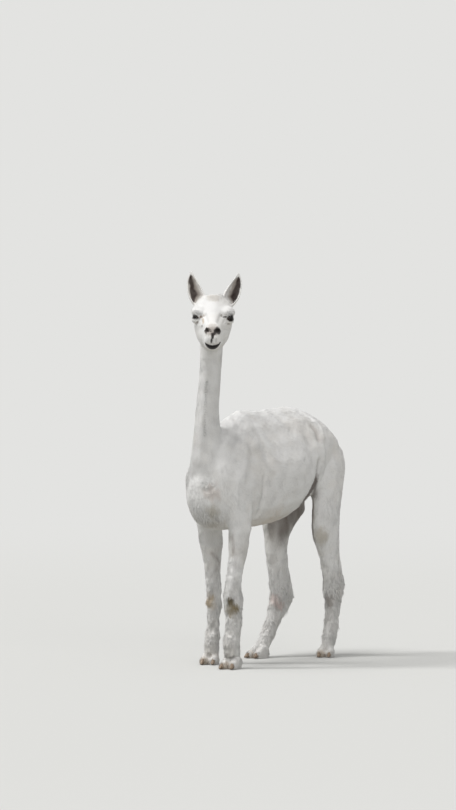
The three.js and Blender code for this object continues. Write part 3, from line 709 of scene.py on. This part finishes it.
# Where little or no hair grows: lids, lips and nose, the hollows and tips of the ears, and the soles.
bareNose = (((-1, -168, -34), (29, 24, 15)), ((0, -174, -60), (5, 16, 26)))
lashes = patchOn(bothSides(onHead), (56, -54, 3), (15, 16, 9))
bare = np.clip(lidShade * 1.3 + ramp(0.05, 0.3, earHollow) + lip + lashes * 0.9, 0, 1)
for place, reach in bareNose:
    bare = np.maximum(bare, ramp(1.2, 0.75, lengths((onHead - place) / reach)))
solePart = ramp(0.004, 0.002, points[:, 2])
earRim = np.maximum(ramp(0.2, 0.05, earAcross), ramp(0.8, 0.95, earAcross))
earRim = np.clip(earShare[:, 0] * 1.2, 0, 1) * earRim * 0.8
tailEnd = shareOf(weights, "tail")[:, 0] * ramp(-0.5, -0.8, normals[:, 2])
growth = (1 - bare) * (1 - solePart) * (1 + 0.8 * brow) * (1 - 0.7 * earRim)
growth = growth * ramp(0.97, 0.92, earHeight) * (1 - tailEnd)

coatPieces = {  # the parts each piece covers, how many tufts, and the axis its map goes round
    "coat_neck": (["neck"], 19000, 2),
    "coat_trunk_left": (["trunk"], 19500, 1), "coat_trunk_right": (["trunk"], 19500, 1),
    "coat_forelegs": (["foreleg"], 17000, 2), "coat_hind_legs": (["hindLeg"], 19500, 2),
    "coat_feet": (["foot"], 14000, 2), "coat_head": (["head"], 19500, 1),
    "coat_ears_tail": (["leftEar", "rightEar", "tail"], 9000, 2),
}
# How far shade shows between the locks, and how far a tuft takes its light from the front.
streaked = legShare * (0.05 + 0.11 * ramp(0.42, 0.28, points[:, 2]))
faceLit = np.maximum(earRim, hanging[:, 0] * headShare[:, 0] * 0.6)
# The line of small ridges that the comb of the shears left down the left front of the neck, with painted shade
# in the gaps between them.
combLine = np.array([inNode("neck", 0.65, 0.11, 0.78), inNode("neck", 0.63, 0.06, 0.35)])
comb = {"width": 0.006, "pitch": 0.0085, "lift": 26, "shade": 0.5}
# A tuft's ten faces, and its patch on the map: three strips side by side from root to tip.
blade = np.array([(0, 1, 2), (0, 4, 1), (0, 3, 4), (1, 5, 2), (1, 4, 5),
                  (2, 3, 0), (2, 5, 3), (3, 6, 4), (4, 6, 5), (5, 6, 3)])
bladeAcross = np.array([(0, 1, 1), (0, 1, 1), (0, 0, 1), (1, 2, 2), (1, 1, 2),
                        (2, 3, 3), (2, 2, 3), (0, 0.5, 1), (1, 1.5, 2), (2, 2.5, 3)])
bladeAlong = np.array([0, 0, 0, 0.55, 0.55, 0.55, 1])[blade]
bladeAlong[0, 1] = 0.4  # the root's own face
patchSize = (0.001, 0.003)


def blended(values, chosen, mix):
    return (values[corners[chosen]] * mix[:, :, None]).sum(1)


def grownCoat(name, regions, count, axis):
    rng = np.random.default_rng(len(name) * 7 + count)
    owner = weights.argmax(1)
    inside = np.isin(owner, [regionNames.index(region) for region in regions])
    chance = triangleAreas * inside[corners].any(1) * growth[corners].mean(1)
    if name.endswith(("left", "right")):
        chance *= (spans[:, :, 0].mean(1) > trunkMiddle[0]) == name.endswith("left")
    steps = np.cumsum(chance)
    chosen = np.searchsorted(steps, (np.arange(count) + rng.random(count)) / count * steps[-1])
    chosen = np.clip(chosen, 0, len(steps) - 1)
    mix = rng.random((count, 2))
    mix = np.where(mix.sum(1, keepdims=True) > 1, 1 - mix, mix)
    mix = np.c_[mix, 1 - mix.sum(1)]
    roots, upright, along, form, tint = (blended(values, chosen, mix) for values in (
        points, normals, lie, shape, tints))
    streaky, lit = blended(np.c_[streaked, faceLit], chosen, mix).T
    upright = unit(upright)
    clump = noise(roots, 0.022, 11) * 0.35 + noise(roots, 0.009, 12) * 0.25
    turn = np.radians(clump * 26 + rng.normal(0, 11, count))[:, None]
    along = unit(along - upright * (along * upright).sum(1, keepdims=True))
    along = along * np.cos(turn) + np.cross(upright, along) * np.sin(turn)
    beside = np.cross(upright, along)
    way = unit(combLine[1] - combLine[0])
    offLine = lengths(np.cross(roots - combLine[0], way))
    within = ((roots - combLine[0]) @ way > 0) & ((roots - combLine[1]) @ way < 0)
    beads = within * np.exp(-((offLine / comb["width"]) ** 2))
    wave = 0.5 * np.sin(roots[:, 2] * 2 * math.pi / comb["pitch"])
    combed, combGap = beads * (0.5 + wave), beads * (0.5 - wave)
    long = form[:, 0] / 1000 * rng.uniform(0.7, 1.25, count) * (1 + 0.22 * noise(roots, 0.03, 13))
    wide = form[:, [1]] / 1000 * rng.uniform(0.75, 1.2, (count, 1))
    lift = np.radians(form[:, 2] * rng.uniform(0.6, 1.5, count) + combed * comb["lift"])[:, None]
    bend = lift * 0.25 + rng.normal(0, 0.08, (count, 1))
    half = (long * 0.5)[:, None]
    root = roots - upright * 0.0007
    middle = root + (along * np.cos(lift) + upright * np.sin(lift)) * half
    sideways = beside * rng.normal(0, 0.12, (count, 1))
    tip = middle + (along * np.cos(bend) + upright * np.sin(bend) + sideways) * half
    rings = []
    for place, share in ((root, 1.0), (middle, 0.8)):
        side, rise = beside * (wide * 0.5 * share), upright * (wide * 0.3 * share)
        rings += [place + side, place - side, place + rise]
    verts = np.stack(rings + [tip], axis=1).reshape(-1, 3)
    verts[:, 2] = np.maximum(verts[:, 2], floorGap + 0.0006 * rng.random(len(verts)))
    faces = (blade[None] + np.arange(count)[:, None, None] * 7).reshape(-1)
    mesh = bpy.data.meshes.new(name)
    mesh.vertices.add(count * 7)
    mesh.loops.add(len(faces))
    mesh.polygons.add(count * 10)
    mesh.loops.foreach_set("vertex_index", faces.astype(np.int32))
    mesh.polygons.foreach_set("loop_start", np.arange(count * 10, dtype=np.int32) * 3)
    mesh.vertices.foreach_set("co", verts.astype(np.float32).ravel())
    shadeSmooth(mesh)
    mesh.update(calc_edges=True)
    # velvet: each blade takes the light as the skin does, and on the brows and ear rims from the front
    own = readAll(mesh.vertex_normals, "vector", 3).reshape(-1, 7, 3)
    softened = unit(own * form[:, 3, None, None] + upright[:, None, :])
    lit = lit[:, None, None]
    softened = unit(softened * (1 - lit) + (headAxes[2] - headAxes[1]) * lit * 1.2)
    mesh.normals_split_custom_set_from_vertices(softened.reshape(-1, 3).astype(np.float32))
    # painted shade: each blade darker towards its root, where the blades shade each other, and a little lighter
    # at its tip
    rootShade = np.array([0.12, 0.12, 0.12, 0.03, 0.03, 0.03, -0.03])[None, :] * (0.4 + form[:, [3]])
    streak = noise(roots * (1, 1, 0.22) + np.sin(roots[:, [2]] * 70) * (0.004, 0.003, 0), 0.009, 23, 14)
    # painted shade in the hollows between the locks and in the gaps of the comb line
    hollow = ramp(0.2, -1.2, streak) * streaky + comb["shade"] * combGap
    shade = (rng.uniform(0.95, 1.04, count) * (1 - hollow))[:, None, None] * (1 - rootShade)[:, :, None]
    setColours(mesh, "coatColour", np.clip(tint[:, None, :] * shade, 0, 1).reshape(-1, 3))
    # the patch lies where the tuft's root is on the skin's map
    where = chartOf(roots, regions, owner[corners[chosen][:, 0]], axis)
    patch = np.stack([bladeAcross, bladeAlong], axis=2).reshape(-1, 2) * patchSize
    uvs = (where[:, None, :] + patch[None]).reshape(-1, 2)
    mesh.uv_layers.new(name="OFBake").data.foreach_set("uv", uvs.astype(np.float32).ravel())
    return placed(name, mesh)


# The skin's map: the angle round the part's middle line goes across, and the way along it up.
def chartOf(roots, regions, rootOwner, axis, levels=18):
    chart = np.zeros((len(roots), 2))
    others = [i for i in range(3) if i != axis]
    groups = [(regionNames.index(region), sign) for region in regions
              for sign in ((1, -1) if region in ("foreleg", "hindLeg", "foot") else (0,))]
    for place, (region, sign) in enumerate(groups):
        skinPart = (weights.argmax(1) == region) & ((sideOf(points) == sign) | (sign == 0))
        rootPart = (sideOf(roots) == sign) | (sign == 0)
        if len(regions) > 1:
            rootPart &= rootOwner == region
        low, high = points[skinPart, axis].min() - 0.02, points[skinPart, axis].max() + 0.02
        steps = np.linspace(low, high, levels + 1)
        level = np.clip(np.digitize(points[skinPart, axis], steps) - 1, 0, levels - 1)
        count = np.bincount(level, minlength=levels)
        filled = count > 0
        centres = ((steps[:-1] + steps[1:]) / 2)[filled]
        middle = [np.bincount(level, points[skinPart, i], levels) / np.maximum(count, 1) for i in others]
        middle = np.column_stack([np.interp(roots[rootPart, axis], centres, row[filled]) for row in middle])
        offset = roots[rootPart][:, others] - middle
        angle = np.arctan2(offset[:, 1], offset[:, 0]) / (2 * math.pi) + 0.5
        along = np.clip((roots[rootPart, axis] - low) / (high - low), 0, 1)
        chart[rootPart] = np.c_[(place + 0.01 + angle * 0.97) / len(groups), 0.004 + along * 0.99]
    return chart * 0.995


coatObjects = [grownCoat(name, *spec) for name, spec in coatPieces.items()]
print("coat:", sum(spec[1] for spec in coatPieces.values()), "tufts")


# Materials. Each starts from what the real surface is; sizes of patterns are in metres on Object coordinates.
def addNode(tree, kind, settings=None, links=None, output=0):
    node = tree.nodes.new("ShaderNode" + kind)
    for name, value in (settings or {}).items():
        if isinstance(name, int) or name in node.inputs:
            node.inputs[name].default_value = value
        else:
            setattr(node, name, value)
    for name, source in (links or {}).items():
        tree.links.new(source, node.inputs[name])
    return node.outputs[output]


def colourOf(hexColour):
    return (*linear(hexColour), 1)


def newMaterial(name, **shader):
    material = bpy.data.materials.new(name)
    material.use_nodes = True
    tree = material.node_tree
    surface = tree.nodes["Principled BSDF"]
    for socket, value in shader.items():
        surface.inputs[socket.replace("_", " ")].default_value = value
    return material, tree, surface


multiply = {"data_type": "RGBA", "blend_type": "MULTIPLY"}


# Shorn huacaya fleece: dull, pale and finely uneven, with a soft sheen where the light grazes it.
def fleeceMaterial(name, depth):
    material, tree, surface = newMaterial(
        name, Roughness=0.9, Sheen_Weight=0.25, Sheen_Roughness=0.6, IOR=1.45, Specular_IOR_Level=0.2)
    grown = addNode(tree, "Attribute", {"attribute_name": "coatColour"})
    place = addNode(tree, "TexCoord", output="Object")
    dust = addNode(tree, "TexNoise", {"Scale": 1 / 0.045, "Detail": 4.0}, {"Vector": place})
    dusty = addNode(tree, "MapRange", {"From Min": 0.45, "From Max": 0.8, "To Max": 0.10}, {"Value": dust})
    tinted = addNode(tree, "Mix", {**multiply, 7: colourOf("#D9CBB6")}, {0: dusty, 6: grown}, output=2)
    tree.links.new(tinted, surface.inputs["Base Color"])
    crimp = addNode(tree, "TexNoise", {"Scale": 1 / 0.0045, "Detail": 3.0, "Roughness": 0.6},
                    {"Vector": place})
    swell = addNode(tree, "TexNoise", {"Scale": 1 / 0.02, "Detail": 2.0}, {"Vector": place})
    fine = addNode(tree, "Bump", {"Strength": 0.5, "Distance": depth}, {"Height": crimp})
    broad = addNode(tree, "Bump", {"Strength": 0.15, "Distance": depth * 2.5},
                    {"Height": swell, "Normal": fine})
    tree.links.new(broad, surface.inputs["Normal"])
    return material


skinPiece.data.materials.append(fleeceMaterial("shorn fleece close to the skin", 0.0012))
tuftMaterial = fleeceMaterial("shorn fleece locks", 0.0004)
for piece in coatObjects:
    piece.data.materials.append(tuftMaterial)

# Eyes: a dark brown iris under a clear wet front, with a level slot for a pupil. Iris and bulge fade between
# two angles from the middle, and the pupil's half width and height are shares of the radius.
eyeColours = {"white": "#4A3A30", "iris": "#1D120C", "pupil": "#040303"}
eyeForm = {"iris": (50, 40), "bulge": 0.0009, "bulgeTo": (46, 20), "pupil": (0.42, 0.2)}
eyeMaterial, tree, surface = newMaterial(
    "wet eye", Roughness=0.12, IOR=1.38, Coat_Weight=0.25, Coat_Roughness=0.03, Specular_IOR_Level=0.3)
iris = addNode(tree, "Attribute", {"attribute_name": "eyeColour"})
place = addNode(tree, "TexCoord", output="Object")
fibres = addNode(tree, "TexNoise", {"Scale": 1 / 0.0012, "Detail": 4.0}, {"Vector": place})
eyeTint = addNode(tree, "Mix", {**multiply, 7: colourOf("#7A6A5C")}, {0: fibres, 6: iris}, output=2)
tree.links.new(eyeTint, surface.inputs["Base Color"])


def eyeBall(side):
    centre, gaze, across, upward = eyeFrame(side)
    ball = bmesh.new()
    bmesh.ops.create_uvsphere(ball, u_segments=56, v_segments=36, radius=eyeLook["radius"])
    turn = Matrix(np.c_[across, upward, gaze].tolist())
    bmesh.ops.transform(ball, matrix=Matrix.Translation(Vector(centre)) @ turn.to_4x4(), verts=ball.verts)
    bmesh.ops.recalc_face_normals(ball, faces=ball.faces)
    mesh = meshOf(side + "_eye_ball", ball)
    places = readAll(mesh.vertices, "co", 3).astype(float)
    offset = unit(places - centre)
    away = np.degrees(np.arccos(np.clip(offset @ gaze, -1, 1)))[:, None]
    setPoints(mesh, places + offset * ramp(*eyeForm["bulgeTo"], away) * eyeForm["bulge"])
    inIris = ramp(*eyeForm["iris"], away)
    tint = linear(eyeColours["white"]) * (1 - inIris) + linear(eyeColours["iris"]) * inIris
    slot = np.hypot((offset @ across) / eyeForm["pupil"][0], (offset @ upward) / eyeForm["pupil"][1])
    dark = (ramp(1.15, 0.85, slot) * (offset @ gaze > 0))[:, None]
    setColours(mesh, "eyeColour", tint * (1 - dark) + linear(eyeColours["pupil"]) * dark)
    shadeSmooth(mesh)
    mesh.materials.append(eyeMaterial)
    return placed(side + "_eye_ball", mesh)


for side in ("left", "right"):
    piece = eyeBall(side)
    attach(piece, "root")
    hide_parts(side + "_eye")

# Toenails: grey-brown horn in paler and darker streaks, ridged round.
nailForm = {"voxel": 0.0011, "soften": 0.5, "rounds": 6}
nailMaterial, tree, surface = newMaterial("toenail horn", Roughness=0.55, IOR=1.54)
place = addNode(tree, "TexCoord", output="Object")
streaks = addNode(tree, "TexNoise", {"Scale": 1 / 0.004, "Detail": 3.0}, {"Vector": place})
horn = addNode(tree, "ValToRGB", links={"Fac": streaks})
for end, colour, position in zip(horn.node.color_ramp.elements, ("#6B5B4D", "#B5A08A"), (0.35, 0.7)):
    end.color, end.position = colourOf(colour), position
tree.links.new(horn, surface.inputs["Base Color"])
ridges = addNode(tree, "TexWave", {"Scale": 1 / 0.012, "Distortion": 2.0, "bands_direction": "Z"},
                 {"Vector": place}, output="Fac")
ridged = addNode(tree, "Bump", {"Strength": 0.4, "Distance": 0.0005}, {"Height": ridges})
tree.links.new(ridged, surface.inputs["Normal"])
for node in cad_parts:
    if "nail" in node:
        nail = placed(node + "_horn", voxelled([node], nailForm["voxel"]))
        soften = nail.modifiers.new("soften", "SMOOTH")
        soften.factor, soften.iterations = nailForm["soften"], nailForm["rounds"]
        shadeSmooth(nail.data)
        nail.data.materials.append(nailMaterial)
        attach(nail, "root")
        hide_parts(node)

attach(skinPiece, "root")
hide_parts(*fleshNodes)
for piece in coatObjects:
    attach(piece, "root")

# Studio: a pale floor that fades into its surroundings, and even light all round. The lamps, two high on the
# camera's left and a weak one on its right: turn from the camera, height, strength and softness.
studio = {
    "floor": "#D9D9D6", "around": "#E3E3E1", "bounce": "#A8A8A4", "ambient": 0.46,
    "radius": 40, "fade": (3, 9),
    "lamps": [("main", -84, 46, 1.02, 12), ("high", -62, 72, 1.10, 24), ("fill", 15, 20, 0.46, 50)],
}


def seenRays(tree):  # 1 for the camera's own rays, and 1 for those that reach it by mirrors and glass too
    rays = addNode(tree, "LightPath").node.outputs
    direct = seen = rays["Is Camera Ray"]
    for kind in ("Glossy", "Transmission"):
        seen = addNode(tree, "Math", {"operation": "MAXIMUM"}, {0: seen, 1: rays[f"Is {kind} Ray"]})
    return direct, seen


floorShape = bmesh.new()
bmesh.ops.create_circle(floorShape, cap_ends=True, segments=96, radius=studio["radius"])
floor = placed("floor", meshOf("floor", floorShape))
floorMaterial, tree, surface = newMaterial("pale studio floor", Roughness=0.9, Specular_IOR_Level=0.0)
direct, seen = seenRays(tree)
floorTint = addNode(  # the floor sends back less light than it shows
    tree, "Mix", {"data_type": "RGBA", 6: colourOf(studio["bounce"]), 7: colourOf(studio["floor"])},
    {0: direct}, output=2)
tree.links.new(floorTint, surface.inputs["Base Color"])
place = addNode(tree, "TexCoord", output="Object")
reach = addNode(tree, "VectorMath", {"operation": "LENGTH"}, {0: place}, output="Value")
fade = addNode(tree, "MapRange", {"interpolation_type": "SMOOTHSTEP", "From Min": studio["fade"][0],
                                  "From Max": studio["fade"][1]}, {"Value": reach})
share = addNode(tree, "Math", {"operation": "MULTIPLY"}, {0: seen, 1: fade})
pale = addNode(tree, "Emission", {"Color": colourOf(studio["around"]), "Strength": 1.0})
blend = addNode(tree, "MixShader", links={0: share, 1: surface.outputs["BSDF"], 2: pale})
tree.links.new(blend, tree.nodes["Material Output"].inputs["Surface"])
floor.data.materials.append(floorMaterial)

scene.world = bpy.data.worlds.new("studio")
scene.world.use_nodes = True
sky = scene.world.node_tree
ambient = sky.nodes["Background"]
ambient.inputs["Color"].default_value = (1, 1, 1, 1)
ambient.inputs["Strength"].default_value = studio["ambient"]
around = addNode(sky, "Background", {"Color": colourOf(studio["around"]), "Strength": 1.0})
skyMix = addNode(sky, "MixShader", links={0: seenRays(sky)[1], 1: ambient.outputs["Background"], 2: around})
sky.links.new(skyMix, sky.nodes["World Output"].inputs["Surface"])

shot = {"azimuth": 33, "elevation": 1.5, "distance": 16, "aim": (-0.1036, -0.0347, 0.213),
        "lens": 206.2, "sensor": 36, "clip": 100}


def wayTo(azimuth, elevation):
    a, e = math.radians(azimuth), math.radians(elevation)
    return Vector((math.sin(a) * math.cos(e), -math.cos(a) * math.cos(e), math.sin(e)))


def aimed(piece, way):
    piece.rotation_euler = way.to_track_quat("Z", "Y").to_euler()


for name, turn, height, strength, softness in studio["lamps"]:
    lamp = bpy.data.lights.new(name, "SUN")
    lamp.energy, lamp.angle = strength, math.radians(softness)
    aimed(placed(name, lamp), wayTo(shot["azimuth"] + turn, height))

view = wayTo(shot["azimuth"], shot["elevation"])
lens = bpy.data.cameras.new("camera")
lens.lens, lens.sensor_width, lens.clip_end = shot["lens"], shot["sensor"], shot["clip"]
camera = placed("camera", lens)
camera.location = (solidBox[0] + solidBox[1]) / 2 + Vector(shot["aim"]) + view * shot["distance"]
aimed(camera, view)
scene.camera = camera
scene.view_settings.view_transform = "Standard"
print("studio ready")
